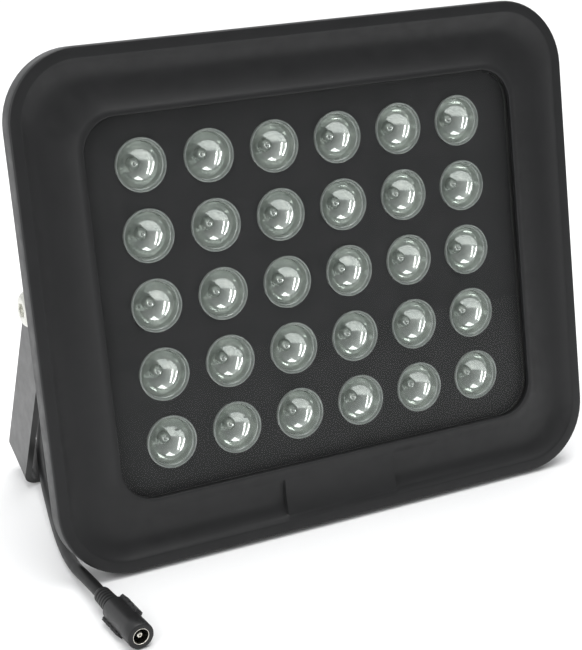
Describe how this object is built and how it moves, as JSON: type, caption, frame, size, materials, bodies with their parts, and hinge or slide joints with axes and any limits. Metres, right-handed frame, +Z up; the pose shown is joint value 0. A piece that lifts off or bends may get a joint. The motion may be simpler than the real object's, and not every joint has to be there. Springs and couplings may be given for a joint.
{
  "type": "infrared illuminator",
  "caption": "Rectangular infrared floodlight on a bent-strap bracket: rounded black frame, glass window over a grid of clear lenses, finned back, and a short cord with a round socket.",
  "frame": {"origin": "centre of the underside of the lamp's box, with the cord left out, on the table that it rests on", "axes": "+X to the right along the frame's long side seen from the front, +Y from the face backwards, +Z up"},
  "size_m": [0.225, 0.1764, 0.1842],
  "materials": {
    "black_casting": "satin black powder coat, very fine texture",
    "window_glass": "clear flat glass",
    "clear_lens": "clear moulded resin, polished",
    "plate_black": "matt black",
    "seal_rubber": "matt rubber",
    "emitter_resin": "clear resin over the chip",
    "board_white": "white solder mask",
    "heat_pad_grey": "grey silicone",
    "zinc_steel": "zinc plated",
    "bright_steel": "bright stainless steel",
    "bracket_paint": "satin dark grey powder coat",
    "washer_fibre": "black fibre",
    "gland_nylon": "moulded black nylon",
    "driver_green": "green solder mask",
    "driver_parts": "moulded black",
    "capacitor_sleeve": "printed sleeve left plain",
    "terminal_green": "moulded green",
    "wire_red": "red insulation",
    "wire_black": "black insulation",
    "cord_black": "satin black jacket",
    "plug_black": "moulded black",
    "socket_nickel": "nickel plated"
  },
  "bodies": {
    "head": {"front_frame": "black_casting", "rear_housing": "black_casting", "cooling_fins": "black_casting", "rear_cover": "black_casting", "window_pane": "window_glass", "lens_row_1": "clear_lens", "lens_row_2": "clear_lens", "lens_row_3": "clear_lens", "lens_row_4": "clear_lens", "lens_row_5": "clear_lens", "lens_plate": "plate_black", "window_gasket": "seal_rubber", "frame_gasket": "seal_rubber", "cover_gasket": "seal_rubber", "gland_seal": "seal_rubber", "emitter_row_1": "emitter_resin", "emitter_row_2": "emitter_resin", "emitter_row_3": "emitter_resin", "emitter_row_4": "emitter_resin", "emitter_row_5": "emitter_resin", "led_board": "board_white", "thermal_pad": "heat_pad_grey", "frame_screws": "zinc_steel", "board_screws": "zinc_steel", "cover_screws": "zinc_steel", "driver_screws": "zinc_steel", "pivot_bolt_left": "bright_steel", "pivot_bolt_right": "bright_steel", "toothed_washer_left": "bright_steel", "toothed_washer_right": "bright_steel", "friction_washer_left": "washer_fibre", "friction_washer_right": "washer_fibre", "gland_body": "gland_nylon", "gland_nut": "gland_nylon", "gland_locknut": "gland_nylon", "driver_board": "driver_green", "driver_inductor": "driver_parts", "driver_chip": "driver_parts", "driver_capacitor": "capacitor_sleeve", "terminal_block": "terminal_green", "lead_wire_positive": "wire_red", "board_wire_positive": "wire_red", "lead_wire_negative": "wire_black", "board_wire_negative": "wire_black", "power_cord": "cord_black", "jack_body": "plug_black", "jack_sleeve": "socket_nickel", "jack_pin": "socket_nickel"},
    "bracket": {"mounting_bracket": "bracket_paint"}
  },
  "joints": [
    {"name": "bracket_tilt", "type": "hinge", "parent": "head", "child": "bracket", "pos_m": [0, 0.00753, 0.08453], "axis": [1, 0, 0], "range_deg": [0, 150]}
  ]
}
